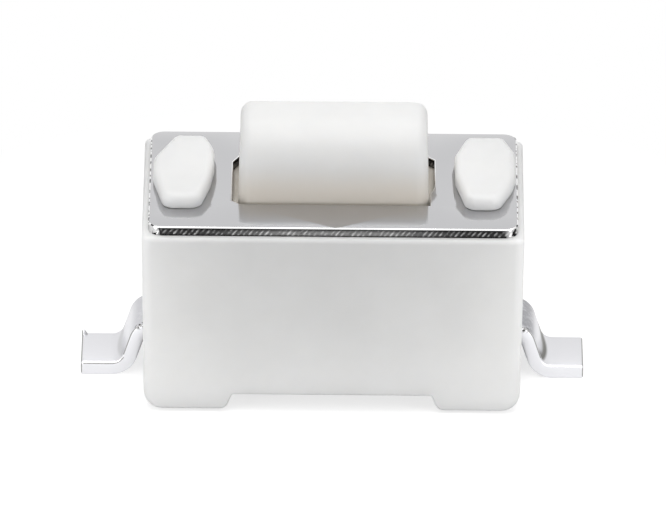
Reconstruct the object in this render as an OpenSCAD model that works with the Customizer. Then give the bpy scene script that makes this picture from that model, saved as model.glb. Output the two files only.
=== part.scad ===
// Tactile push button switch for surface mounting, millimetres, +Z up.
// The origin is on the board, under the middle of the housing.
// +X runs along the housing towards the right-hand terminal, +Y runs to the back.

/* [Housing] */
// Length of the moulded housing
body_l = 6; // [5.8:0.1:6.6]
// Depth of the moulded housing, front to back
body_w = 3.5; // [3.4:0.05:4.2]
// Height of the housing, from its feet to the face under the cover
body_h = 3.05; // [2.9:0.05:4]
// Gap between the board and the housing's feet
body_standoff = 0.05; // [0.02:0.01:0.1]
// Radius of the upright corners and of the bottom edges
body_edge_r = 0.25; // [0.12:0.01:0.35]
// Radius of the edges round the top face
body_top_r = 0.08; // [0.03:0.01:0.1]
// Amount that each side leans in from top to bottom, so that it leaves the mould
body_draft = 0.04; // [0.01:0.01:0.08]

/* [Arch between the feet] */
// Length of the arch
arch_l = 3.2; // [2:0.1:3.6]
// Height of the arch above the feet
arch_h = 0.26; // [0.1:0.02:0.36]
// Radius of the arch's upper corners
arch_r = 0.12; // [0.04:0.02:0.18]

/* [Well] */
// Wall in front of the well, and behind it
well_wall = 0.55; // [0.45:0.05:0.6]
// Wall at each end of the well, which carries a post
well_end_wall = 1.18; // [1.1:0.02:1.24]
// Radius of the well's upright corners
well_corner_r = 0.3; // [0.1:0.05:0.4]
// Height of the well's floor above the board
floor_z = 0.95; // [0.85:0.05:1.1]

/* [Staked posts] */
// Length of a post's flattened head, along the housing
head_l = 0.95; // [0.85:0.01:0.97]
// Distance from the head to the housing's front and back
head_side_gap = 0.7; // [0.5:0.05:0.9]
// Height of the head above the cover
head_h = 0.24; // [0.14:0.02:0.4]
// Distance from the head's outer side to the end of the housing
head_end_gap = 0.13; // [0.11:0.01:0.16]
// Radius of the head's upper edge
head_edge_r = 0.08; // [0.03:0.01:0.1]
// Radius of the head's corners
head_corner_r = 0.14; // [0.12:0.01:0.16]
// Amount that the head's rear corners are drawn in
head_rear_taper = 0.18; // [0:0.02:0.2]
// Amount that the head's front corners are drawn in
head_front_taper = 0.06; // [0:0.02:0.16]
// Distance from the head's rear edge to where the head is longest
head_shoulder_y = 0.6; // [0.4:0.05:0.8]
// Radius of the head's sides where it is longest
head_shoulder_r = 0.3; // [0.2:0.02:0.4]
// Amount that the head spreads past the post below it
head_spread = 0.08; // [0.06:0.01:0.1]
// Clearance round a post in the cover's window
post_clear = 0.03; // [0.01:0.01:0.04]

/* [Cover plate] */
// Thickness of the cover's sheet
cover_t = 0.15; // [0.1:0.01:0.25]
// Distance from the cover's edge to the side of the housing
cover_margin = 0.1; // [0.08:0.01:0.16]
// Radius of the cover's corners
cover_corner_r = 0.22; // [0.1:0.02:0.3]
// Width of the sheet left between the slot and a post's head
slot_web = 0.34; // [0.2:0.02:0.6]
// Size of the cut across each corner of the slot
slot_cut = 0.12; // [0.04:0.01:0.14]

/* [Button] */
// Height of the bar above the cover
bar_h = 1.25; // [0.9:0.05:2.5]
// Width of the flat along the top of the bar, between its round long edges
bar_top_flat = 0.2; // [0.1:0.02:0.9]
// Radius of the bar's upright corners and of its upper end edges
bar_end_r = 0.19; // [0.08:0.01:0.24]
// Clearance between the bar's end and the slot
slot_clear_l = 0.1; // [0.05:0.01:0.14]
// Clearance between the bar's front or back and the slot
slot_clear_w = 0.04; // [0.03:0.01:0.06]
// Thickness of the flange that the cover holds down
flange_t = 0.45; // [0.3:0.05:0.6]
// Clearance between the flange and the wall of the well
flange_clear = 0.08; // [0.04:0.01:0.1]
// Amount that the flange stands out in front of the bar, and behind it
flange_lip = 0.32; // [0.26:0.02:0.36]
// Play between the flange and the cover when the button is up
flange_play = 0.02; // [0.01:0.01:0.04]
// Amount that the column under the flange is set in from the bar's ends
column_end_inset = 0.63; // [0.3:0.01:0.9]
// Amount that the column is set in from the bar's front and back
column_side_inset = 0.25; // [0.1:0.01:0.4]
// Radius of the nub that presses the dome
nub_r = 0.35; // [0.2:0.05:0.4]
// Height of the nub
nub_h = 0.15; // [0.1:0.01:0.25]
// Distance that the button travels
travel = 0.25; // [0.15:0.01:0.27]

/* [Snap dome] */
// Clearance between the dome and the ends of the well
dome_end_clear = 0.22; // [0.16:0.02:0.3]
// Clearance between the dome's straight sides and the well
dome_side_clear = 0.2; // [0.1:0.02:0.3]
// Height of the dome above the floor of the well
dome_h = 0.35; // [0.32:0.01:0.42]
// Thickness of the dome's sheet
dome_t = 0.06; // [0.04:0.01:0.08]
// Play between the nub and the dome
nub_play = 0.02; // [0.01:0.01:0.04]

/* [Terminals] */
// Length of a terminal's flat foot
foot_l = 0.48; // [0.3:0.02:1.2]
// Thickness of the terminals' sheet
sheet_t = 0.23; // [0.15:0.01:0.25]
// Width of a terminal outside the housing
lead_w = 1; // [0.7:0.05:1.2]
// Distance inside the wall at which the upper bend starts
bend_inset = 0.15; // [0.1:0.01:0.2]
// Radius of the upper bend, at the middle of the sheet
upper_bend_r = 0.26; // [0.16:0.01:0.3]
// Radius of the lower bend, at the middle of the sheet
lower_bend_r = 0.31; // [0.16:0.01:0.34]
// Slope of the terminal between its two bends, from level
lead_slope = 72; // [60:1:84]
// Width of each leg of the fork that the dome stands on
fork_leg_w = 0.4; // [0.3:0.05:0.45]
// Clearance between the fork's legs and the front and back of the well
fork_side_clear = 0.05; // [0.02:0.01:0.1]
// Width of the fork's cross bar, along the housing
fork_bar_l = 0.4; // [0.25:0.05:0.5]
// Clearance between the fork and the end of the well
fork_clear = 0.1; // [0.05:0.05:0.2]
// Length of the wide shoulder of the left-hand terminal that shows in the well
shoulder_l = 0.1; // [0.04:0.02:0.16]
// Width of the tongue that carries the middle contact
tongue_w = 0.6; // [0.5:0.05:0.8]
// Depth that the tongue lies below the floor of the well
tongue_drop = 0.1; // [0.06:0.01:0.11]
// Distance that the tongue runs past the middle of the housing
tongue_reach = 0.4; // [0.35:0.05:0.6]
// Radius of the middle contact
contact_r = 0.24; // [0.15:0.01:0.24]

/* [Hidden] */

$fn = 64;
// Facets of a full circle on rounded corners, on their rims and on the dome, and steps in one bend
corner_facets = 32;
rim_facets = 16;
dome_facets = 180;
bend_steps = 10;
// Length by which a cutting shape runs past the face that it cuts
past = 0.5;
// Length of a lead's level end, before its upper bend
lead_root = 0.3;

body_top_z = body_standoff + body_h;
cover_top_z = body_top_z + cover_t;
well_l = body_l - 2 * well_end_wall;
well_w = body_w - 2 * well_wall;
head_w = body_w - 2 * head_side_gap;
head_x = body_l / 2 - head_end_gap - head_l;
slot_l = 2 * (head_x - slot_web);
bar_l = slot_l - 2 * slot_clear_l;
flange_l = well_l - 2 * flange_clear;
flange_w = well_w - 2 * flange_clear;
bar_w = flange_w - 2 * flange_lip;
bar_top_r = (bar_w - bar_top_flat) / 2;
slot_w = bar_w + 2 * slot_clear_w;
bar_top_z = cover_top_z + bar_h;
flange_top_z = body_top_z - flange_play;
flange_z = flange_top_z - flange_t;
// The dome's length is the diameter that it is cut from
dome_l = well_l - 2 * dome_end_clear;
dome_w = well_w - 2 * dome_side_clear;
dome_top_z = floor_z + dome_h;
nub_z = dome_top_z + nub_play;
// Radius of the ball that the dome is a cap of
dome_ball_r = (pow(dome_l / 2, 2) + pow(dome_h, 2)) / (2 * dome_h);
// The dome meets the contact at the end of the button's travel
contact_top_z = dome_top_z - dome_t - travel + nub_play;
sheet_z = floor_z - sheet_t;
tongue_top_z = floor_z - tongue_drop;

// Middle line of a terminal: level inside the wall, down the slope, level along the board
exit_x = body_l / 2 - bend_inset;
exit_z = floor_z - sheet_t / 2;
bends_r = upper_bend_r + lower_bend_r;
slope_l = (exit_z - sheet_t / 2 - bends_r * (1 - cos(lead_slope))) / sin(lead_slope);
foot_x = exit_x + bends_r * sin(lead_slope) + slope_l * cos(lead_slope);
// Each station is [x, z, slope], and the first one lies inside the wall
lead_stations = concat(
    [[exit_x - lead_root, exit_z, 0]],
    [for (i = [0:bend_steps]) let (a = lead_slope * i / bend_steps)
        [exit_x + upper_bend_r * sin(a), exit_z - upper_bend_r * (1 - cos(a)), a]],
    [for (i = [bend_steps:-1:0]) let (a = lead_slope * i / bend_steps)
        [foot_x - lower_bend_r * sin(a), sheet_t / 2 + lower_bend_r * (1 - cos(a)), a]],
    [[foot_x + foot_l, sheet_t / 2, 0]]
);

// One face of the terminal's sheet: side is 1 for the upper face and -1 for the lower one
function lead_face(side) = [
    for (s = lead_stations) [s[0] + side * sheet_t / 2 * sin(s[2]), s[1] + side * sheet_t / 2 * cos(s[2])]
];

function reversed(list) = [for (i = [len(list) - 1:-1:0]) list[i]];

// Box centred on X and Y that stands on the given height
module centred_box(l, w, z, h) {
    translate([-l / 2, -w / 2, z]) cube([l, w, h]);
}

// Rectangle centred on the origin, with round corners
module rounded_rectangle(l, w, r) {
    offset(r = r, $fn = corner_facets) square([l - 2 * r, w - 2 * r], center = true);
}

// Disc standing on the origin, with its upper rim rounded off: a corner that a block is stretched over
module rimmed_disc(r, h, rim_r) {
    rotate_extrude($fn = corner_facets) {
        square([r - rim_r, h]);
        square([r, h - rim_r]);
        intersection() {
            translate([r - rim_r, h - rim_r]) circle(r = rim_r, $fn = rim_facets);
            square([r, h]);
        }
    }
}

// Round corners of a head, from the rear to the front: [distance from its middle, y, radius]
head_side = [
    [head_l / 2 - head_rear_taper - head_corner_r, head_w / 2 - head_corner_r, head_corner_r],
    [head_l / 2 - head_shoulder_r, head_w / 2 - head_shoulder_y, head_shoulder_r],
    [head_l / 2 - head_front_taper - head_corner_r, head_corner_r - head_w / 2, head_corner_r]
];
// The same corners on both sides of the head's middle: [x, y, radius]
head_corners = [for (c = head_side, side = [-1, 1]) [head_x + head_l / 2 + side * c[0], c[1], c[2]]];

// Shape stretched over the corners of a head, with the inset taken off all round the outline
module post_prism(inset, z, h) {
    hull() for (c = head_corners)
        translate([c[0], c[1], z]) cylinder(r = c[2] - inset, h = h, $fn = corner_facets);
}

// Flattened head, with a round upper edge
module post_head() {
    hull() for (c = head_corners)
        translate([c[0], c[1], cover_top_z]) rimmed_disc(c[2], head_h, head_edge_r);
}

// A post with its head, staked over the cover
module post() {
    post_prism(head_spread, body_top_z - past, cover_t + past);
    post_head();
}

// Outside of the housing: round below and at its upright corners, and leaning in downwards
module housing_block() {
    top_x = body_l / 2 - body_edge_r;
    top_y = body_w / 2 - body_edge_r;
    hull() for (sx = [-1, 1], sy = [-1, 1]) {
        translate([sx * (top_x - body_draft), sy * (top_y - body_draft), body_standoff + body_edge_r])
            sphere(r = body_edge_r, $fn = corner_facets);
        translate([sx * top_x, sy * top_y, body_top_z - body_edge_r])
            rimmed_disc(body_edge_r, body_edge_r, body_top_r);
    }
}

// Arch cut from front to back between the feet
module arch() {
    translate([0, 0, body_standoff]) rotate([90, 0, 0])
        linear_extrude(height = body_w + 2 * past, center = true)
            offset(r = arch_r, $fn = corner_facets)
                translate([arch_r - arch_l / 2, -past]) square([arch_l - 2 * arch_r, past + arch_h - arch_r]);
}

// Moulded housing: block, arch, well, posts, and the seats that it is moulded round
module housing() {
    color([0.93, 0.93, 0.92]) difference() {
        union() {
            housing_block();
            post();
            mirror([1, 0, 0]) post();
        }
        arch();
        translate([0, 0, floor_z]) linear_extrude(height = body_h) rounded_rectangle(well_l, well_w, well_corner_r);
        fork();
        tongue();
        lead();
        mirror([1, 0, 0]) lead();
        // the tongue lies open in the floor
        translate([-well_l / 2, -tongue_w / 2, tongue_top_z])
            cube([well_l / 2 + tongue_reach, tongue_w, floor_z - tongue_top_z + past]);
    }
}

// Stamped cover plate, with the slot for the button and a window for each post
module cover() {
    color([0.78, 0.78, 0.79]) difference() {
        translate([0, 0, body_top_z]) linear_extrude(height = cover_t) difference() {
            rounded_rectangle(body_l - 2 * cover_margin, body_w - 2 * cover_margin, cover_corner_r);
            slot_outline();
        }
        for (side = [0, 1]) mirror([side, 0, 0])
            post_prism(head_spread - post_clear, body_top_z - past, cover_t + 2 * past);
    }
}

// Slot with a straight cut across each corner
module slot_outline() {
    x = slot_l / 2;
    y = slot_w / 2;
    c = slot_cut;
    polygon([
        [x, y - c], [x - c, y], [c - x, y], [-x, y - c],
        [-x, c - y], [c - x, -y], [x - c, -y], [x, c - y]
    ]);
}

// Bar stretched over four round corners above and its own outline below
module bar() {
    hull() {
        for (side = [0, 1], y_side = [-1, 1]) mirror([side, 0, 0])
            translate([bar_l / 2 - bar_end_r, y_side * (bar_w / 2 - bar_top_r), bar_top_z - bar_top_r])
                rotate([0, 90, 0]) rimmed_disc(bar_top_r, bar_end_r, bar_end_r);
        translate([0, 0, flange_top_z - bar_end_r])
            linear_extrude(height = bar_end_r) rounded_rectangle(bar_l, bar_w, bar_end_r);
    }
}

// Button: bar, flange, column and nub in one moulding
module button() {
    color([0.95, 0.95, 0.94]) {
        bar();
        centred_box(flange_l, flange_w, flange_z, flange_t);
        centred_box(
            bar_l - 2 * column_end_inset, bar_w - 2 * column_side_inset,
            nub_z + nub_h, flange_z - nub_z - nub_h
        );
        translate([0, 0, nub_z]) cylinder(r = nub_r, h = nub_h);
    }
}

// Snap dome: a thin cap with two straight sides, standing on the floor of the well
module dome() {
    color([0.72, 0.73, 0.74]) intersection() {
        rotate_extrude($fn = dome_facets) intersection() {
            translate([0, dome_top_z - dome_ball_r]) difference() {
                circle(r = dome_ball_r, $fn = dome_facets);
                circle(r = dome_ball_r - dome_t, $fn = dome_facets);
            }
            translate([0, floor_z]) square([dome_l / 2, dome_h + past]);
        }
        centred_box(dome_l, dome_w, floor_z, dome_h + past);
    }
}

// Bent end of the right-hand terminal: out of the wall, down and along the board
module lead() {
    translate([0, lead_w / 2, 0]) rotate([90, 0, 0]) linear_extrude(height = lead_w)
        polygon(concat(lead_face(1), reversed(lead_face(-1))));
}

// Level part of the right-hand terminal: a fork whose legs lie under the dome's edge
module fork() {
    bar_x = well_l / 2 - fork_clear - fork_bar_l;
    leg_y = well_w / 2 - fork_side_clear - fork_leg_w;
    translate([bar_x, -lead_w / 2, sheet_z]) cube([exit_x - bar_x, lead_w, sheet_t]);
    translate([bar_x, -leg_y - fork_leg_w, sheet_z]) cube([fork_bar_l, 2 * (leg_y + fork_leg_w), sheet_t]);
    for (side = [0, 1]) mirror([0, side, 0])
        translate([fork_clear - well_l / 2, leg_y, sheet_z])
            cube([well_l - 2 * fork_clear, fork_leg_w, sheet_t]);
}

// Level part of the left-hand terminal: a tongue that runs between the fork's legs
module tongue() {
    shoulder_x = shoulder_l - well_l / 2;
    translate([-exit_x, -lead_w / 2, sheet_z]) cube([exit_x + shoulder_x, lead_w, sheet_t]);
    translate([-exit_x, -tongue_w / 2, sheet_z])
        cube([exit_x + tongue_reach, tongue_w, tongue_top_z - sheet_z]);
}

module right_terminal() {
    color([0.87, 0.87, 0.88]) {
        fork();
        lead();
    }
}

module left_terminal() {
    color([0.87, 0.87, 0.88]) {
        tongue();
        translate([0, 0, sheet_z]) cylinder(r = contact_r, h = contact_top_z - sheet_z);
        mirror([1, 0, 0]) lead();
    }
}

housing();
cover();
button();
dome();
left_terminal();
right_terminal();
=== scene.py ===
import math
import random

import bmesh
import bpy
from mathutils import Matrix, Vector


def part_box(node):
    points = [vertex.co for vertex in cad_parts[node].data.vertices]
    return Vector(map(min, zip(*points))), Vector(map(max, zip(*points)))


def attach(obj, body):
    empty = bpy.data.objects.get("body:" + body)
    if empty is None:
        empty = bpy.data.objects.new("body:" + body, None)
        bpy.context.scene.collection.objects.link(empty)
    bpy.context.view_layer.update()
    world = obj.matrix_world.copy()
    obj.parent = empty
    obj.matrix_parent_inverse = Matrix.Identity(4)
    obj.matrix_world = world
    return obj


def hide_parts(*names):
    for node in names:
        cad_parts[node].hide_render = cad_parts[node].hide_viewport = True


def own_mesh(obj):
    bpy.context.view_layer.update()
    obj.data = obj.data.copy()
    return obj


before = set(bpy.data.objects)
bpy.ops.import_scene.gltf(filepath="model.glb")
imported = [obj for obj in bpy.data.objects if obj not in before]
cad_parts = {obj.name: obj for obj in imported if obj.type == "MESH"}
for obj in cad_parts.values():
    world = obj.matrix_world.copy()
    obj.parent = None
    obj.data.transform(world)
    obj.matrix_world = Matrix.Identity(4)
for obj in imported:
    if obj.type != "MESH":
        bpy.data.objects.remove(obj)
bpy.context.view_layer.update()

# %% [markdown]
# # A tactile push button switch
# The switch is 8 mm long over its terminals. The frame loaded above holds its six CAD pieces at
# their real size. Each chapter below builds one finished piece over its CAD piece: the moulded
# housing, the stamped cover, the button, the snap dome and the two terminals.
#
# Blender works in metres, but its bevel welds points that lie closer than about a thousandth of
# a unit. So every mesh here is modelled in millimetres, and scaled to metres as its last step.

MM = 0.001


def box_mm(node):
    """Lowest and highest corner of a CAD piece, in millimetres."""
    low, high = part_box(node)
    return low / MM, high / MM


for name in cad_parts:
    low, high = box_mm(name)
    print(name, "is", [round(side, 2) for side in high - low], "mm")

# %% [markdown]
# ## The camera
# The photograph was taken from far away with a long lens, so lines that run to the back hardly
# draw together. The camera stands 200 mm off, a little under 28 degrees above the board, and it
# is rolled by half a degree. The lens is worked out from the size that one millimetre has in the
# picture.

# %% Camera
CAMERA_DISTANCE = 200
CAMERA_ELEVATION = math.radians(27.7)
CAMERA_ROLL = math.radians(0.49)
AIM = Vector((0.002, -0.070, 1.766))
PIXELS_PER_MM = 63.25
PICTURE_WIDTH = 666


def build_camera():
    data = bpy.data.cameras.new("camera")
    data.lens = PIXELS_PER_MM * CAMERA_DISTANCE / PICTURE_WIDTH * data.sensor_width
    data.clip_start = 0.01
    camera = bpy.data.objects.new("camera", data)
    bpy.context.scene.collection.objects.link(camera)
    back = Vector((0, -math.cos(CAMERA_ELEVATION), math.sin(CAMERA_ELEVATION)))
    camera.rotation_euler = back.to_track_quat("Z", "Y").to_euler()
    camera.rotation_euler.rotate_axis("Z", CAMERA_ROLL)
    camera.location = (AIM + back * CAMERA_DISTANCE) * MM
    return camera


bpy.context.scene.camera = build_camera()
print("lens", round(bpy.context.scene.camera.data.lens), "mm")

# %% [markdown]
# ## Small helpers for meshes
# An outline starts as a few corner points, and a bevel of the points turns each corner into an
# arc. The points move back from a corner by its radius over the tangent of half the angle
# between its sides.

# %% Outlines
ARC_STEPS = 8


def corner_setback(before, corner, after, radius):
    """Distance from a corner to where an arc of this radius starts."""
    angle = (before - corner).angle(after - corner)
    return radius / math.tan(angle / 2)


def outline_face(bm, corners, place):
    """Face with round corners. Each corner is (u, v, radius), and place turns u, v into a point."""
    known = set(bm.faces)
    points = [Vector(place(u, v)) for u, v, radius in corners]
    verts = [bm.verts.new(point) for point in points]
    bm.faces.new(verts)
    for i, (u, v, radius) in enumerate(corners):
        if radius:
            after = points[(i + 1) % len(points)]
            setback = corner_setback(points[i - 1], points[i], after, radius)
            bmesh.ops.bevel(
                bm, geom=[verts[i]], offset=setback, offset_type="OFFSET", segments=ARC_STEPS,
                profile=0.5, affect="VERTICES", material=-1,
            )
    return next(face for face in bm.faces if face not in known)


def rectangle(length, width, radius):
    """Corners of a rectangle centred on the origin."""
    x, y = length / 2, width / 2
    return [(x, y, radius), (-x, y, radius), (-x, -y, radius), (x, -y, radius)]


# %% [markdown]
# Two moves make most of the solids here. Pushing a face straight along a line leaves walls
# behind it. Growing or shrinking a face in its own plane leaves a flat step round it.

# %% Pushing and stepping a face
def push_face(bm, face, move):
    """Extrudes one face along a line, and returns the moved face."""
    made = bmesh.ops.extrude_face_region(bm, geom=[face, *face.edges, *face.verts])["geom"]
    bmesh.ops.translate(bm, vec=move, verts=[v for v in made if isinstance(v, bmesh.types.BMVert)])
    return next(f for f in made if isinstance(f, bmesh.types.BMFace))


def step_face(bm, face, length, width):
    """Extrudes one level face in its own plane to a new length and width."""
    face = push_face(bm, face, (0, 0, 0))
    old_length = max(v.co.x for v in face.verts) - min(v.co.x for v in face.verts)
    old_width = max(v.co.y for v in face.verts) - min(v.co.y for v in face.verts)
    bmesh.ops.scale(bm, vec=(length / old_length, width / old_width, 1), verts=face.verts)
    return face


# %% [markdown]
# Edges are picked by where they lie, and the bevel is told its radius and its steps each time.

# %% Picking and rounding edges
NEAR = 1e-4


def edges_where(bm, test):
    """Edges both of whose ends pass the test."""
    return [edge for edge in bm.edges if all(test(vert.co) for vert in edge.verts)]


def round_edges(bm, edges, radius, steps, material=-1):
    bmesh.ops.bevel(
        bm, geom=edges, offset=radius, offset_type="OFFSET", segments=steps, profile=0.5,
        affect="EDGES", material=material, clamp_overlap=True,
    )


# %% [markdown]
# The last step is the same for every piece: merge doubles, point the faces outwards, scale to metres, shade
# smooth between the sharp edges, hang the piece on its body and hide the CAD piece that it stands for. A
# Weighted Normal modifier keeps the large flats flat beside their round edges.

# %% Finishing a piece
SHARP_ANGLE = math.radians(35)


def finish_piece(name, bm, body, node, materials):
    bmesh.ops.remove_doubles(bm, verts=bm.verts, dist=NEAR)
    bmesh.ops.recalc_face_normals(bm, faces=bm.faces)
    open_edges = sum(not edge.is_manifold for edge in bm.edges)
    print(name, len(bm.faces), "faces,", open_edges, "open edges,", round(bm.calc_volume(), 3), "mm3")
    bmesh.ops.scale(bm, vec=(MM, MM, MM), verts=bm.verts)
    mesh = bpy.data.meshes.new(name)
    bm.to_mesh(mesh)
    bm.free()
    for material in materials:
        mesh.materials.append(material)
    mesh.shade_smooth()
    mesh.set_sharp_from_angle(angle=SHARP_ANGLE)
    piece = bpy.data.objects.new(name, mesh)
    bpy.context.scene.collection.objects.link(piece)
    even = piece.modifiers.new("even_normals", "WEIGHTED_NORMAL")
    even.keep_sharp = True
    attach(piece, body)
    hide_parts(node)
    return piece


# %% [markdown]
# ## Materials
# A hex colour is written as a screen shows it, and shaders want it linear, so one function
# turns it. One more function adds a node with its settings and its inputs.

# %% Colours and nodes
def linear(hex_colour):
    """Linear RGBA of an sRGB hex colour."""
    shares = [int(hex_colour[i:i + 2], 16) / 255 for i in (1, 3, 5)]
    return tuple(s / 12.92 if s <= 0.04045 else ((s + 0.055) / 1.055) ** 2.4 for s in shares) + (1,)


def add_node(tree, kind, inputs=None, **settings):
    """Adds a node. An input is a plain value, or the output of another node to link."""
    made = tree.nodes.new(kind)
    for name, value in settings.items():
        setattr(made, name, value)
    for name, value in (inputs or {}).items():
        if isinstance(value, bpy.types.NodeSocket):
            tree.links.new(value, made.inputs[name])
        else:
            made.inputs[name].default_value = value
    return made


def start_material(name):
    """Empty material, with its node tree, its output node and the Object coordinates in metres."""
    material = bpy.data.materials.new(name)
    material.use_nodes = True
    tree = material.node_tree
    tree.nodes.clear()
    output = add_node(tree, "ShaderNodeOutputMaterial")
    place = add_node(tree, "ShaderNodeTexCoord").outputs["Object"]
    return material, tree, output, place


# %% [markdown]
# ### Moulded nylon
# The housing and the button are injection moulded in unfilled white nylon. Light sinks a few
# tenths of a millimetre into it and comes out again, which makes thin edges glow, so the shader
# has some subsurface scattering. The mould is spark eroded to a fine matt grain of about 0.05 mm.
# The resin also sets a little unevenly, which shows as clouds about 1 mm across. The thick foot of the button
# is given a warmer, darker colour: a painted warm shade where less light reaches it.

# %% Nylon
NYLON_IOR = 1.53
GRAIN_SIZE = 0.05
CLOUD_SIZE = 1.1
SPECK_SIZE = 0.16


def moulded_nylon(name, colour, cloud_colour, foot_shade_colour, foot, roughness, glow_depth, grain_height):
    """The foot's painted warm shade fades out between the two heights in foot, in millimetres."""
    material, tree, output, place = start_material(name)
    clouds = add_node(tree, "ShaderNodeTexNoise", {
        "Vector": place, "Scale": 1 / (CLOUD_SIZE * MM), "Detail": 3, "Roughness": 0.55,
    })
    cloudiness = add_node(tree, "ShaderNodeMapRange", {
        "Value": clouds.outputs["Fac"], "From Min": 0.38, "From Max": 0.68,
    })
    tint = add_node(tree, "ShaderNodeMix", data_type="RGBA", inputs={
        "Factor": cloudiness.outputs["Result"],
    })
    tint.inputs[6].default_value = linear(colour)
    tint.inputs[7].default_value = linear(cloud_colour)
    axes = add_node(tree, "ShaderNodeSeparateXYZ", {"Vector": place})
    # Below the foot heights the colour turns to a warmer, darker one: painted shade.
    foot_shade_share = add_node(tree, "ShaderNodeMapRange", {
        "Value": axes.outputs["Z"], "From Min": foot[1] * MM, "From Max": foot[0] * MM,
    }, interpolation_type="SMOOTHSTEP")
    foot_shade_tint = add_node(tree, "ShaderNodeMix", data_type="RGBA", inputs={"Factor": foot_shade_share.outputs["Result"]})
    tree.links.new(tint.outputs[2], foot_shade_tint.inputs[6])
    foot_shade_tint.inputs[7].default_value = linear(foot_shade_colour)
    grain = add_node(tree, "ShaderNodeTexNoise", {
        "Vector": place, "Scale": 1 / (GRAIN_SIZE * MM), "Detail": 4, "Roughness": 0.6,
    })
    specks = add_node(tree, "ShaderNodeTexVoronoi", {
        "Vector": place, "Scale": 1 / (SPECK_SIZE * MM),
    })
    dimple = add_node(tree, "ShaderNodeMapRange", {
        "Value": specks.outputs["Distance"], "From Min": 0.02, "From Max": 0.12,
    })
    surface = add_node(tree, "ShaderNodeMath", {0: grain.outputs["Fac"], 1: dimple.outputs["Result"]},
                       operation="MULTIPLY")
    bump = add_node(tree, "ShaderNodeBump", {
        "Height": surface.outputs["Value"], "Strength": 0.35, "Distance": grain_height * MM,
    })
    shader = add_node(tree, "ShaderNodeBsdfPrincipled", {
        "Base Color": foot_shade_tint.outputs[2], "Roughness": roughness, "IOR": NYLON_IOR,
        "Specular IOR Level": 0.35, "Subsurface Weight": 0.45, "Subsurface Radius": (1.0, 0.97, 0.92),
        "Subsurface Scale": glow_depth * MM, "Normal": bump.outputs["Normal"],
    })
    tree.links.new(shader.outputs["BSDF"], output.inputs["Surface"])
    return material


housing_nylon = moulded_nylon(
    "satin_moulded_nylon", "#F4F4F3", "#F0F0EF", "#F4F4F3", (-1, 0), 0.5, 0.5, 0.004,
)
button_nylon = moulded_nylon(
    # The third colour is the painted warm shade on the button's foot.
    "milky_moulded_nylon", "#F5F5F4", "#F1F1F0", "#EAE3D8", (3.3, 4), 0.45, 0.5, 0.002,
)
print("materials:", housing_nylon.name, button_nylon.name)

# %% [markdown]
# ### Stamped stainless steel
# The cover is cut from bright cold-rolled sheet. Its face is nearly a mirror: rolling leaves only
# faint lines along the strip, about 0.02 mm apart, and soft waves that bend a reflection a
# little. The cut edge is another surface. The punch rolls its upper corner over and burnishes it
# bright. Below that the metal is torn: dark, with slanting light strokes 0.085 mm apart. They are
# fullest in the middle of each side, and the torn metal is blackest near its ends.

# %% Bright and sheared steel
ROLL_LINE = 0.02
SHEET_WAVE = 0.9
STROKE_PITCH = 0.085
STROKE_SLANT = 0.8
TORN_SIZE = 0.09
BURR_SIZE = 0.12
WAVE_PERIOD = math.tau / 20
cover_low, cover_high = box_mm("cover")


def rolled_steel(name, colour, roughness, line_height, wave_height):
    material, tree, output, place = start_material(name)
    along = add_node(tree, "ShaderNodeMapping", {"Vector": place, "Scale": (0.03, 1, 1)})
    lines = add_node(tree, "ShaderNodeTexNoise", {
        "Vector": along.outputs["Vector"], "Scale": 1 / (ROLL_LINE * MM), "Detail": 3,
    })
    waves = add_node(tree, "ShaderNodeTexNoise", {
        "Vector": place, "Scale": 1 / (SHEET_WAVE * MM), "Detail": 2,
    })
    line_bump = add_node(tree, "ShaderNodeBump", {
        "Height": lines.outputs["Fac"], "Strength": 0.25, "Distance": line_height * MM,
    })
    wave_bump = add_node(tree, "ShaderNodeBump", {
        "Height": waves.outputs["Fac"], "Strength": 0.3, "Distance": wave_height * MM,
        "Normal": line_bump.outputs["Normal"],
    })
    polish = add_node(tree, "ShaderNodeMapRange", {
        "Value": lines.outputs["Fac"], "To Min": roughness * 0.85, "To Max": roughness * 1.2,
    })
    shader = add_node(tree, "ShaderNodeBsdfPrincipled", {
        "Base Color": linear(colour), "Metallic": 1, "Roughness": polish.outputs["Result"],
        "Normal": wave_bump.outputs["Normal"],
    })
    tree.links.new(shader.outputs["BSDF"], output.inputs["Surface"])
    return material


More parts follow.
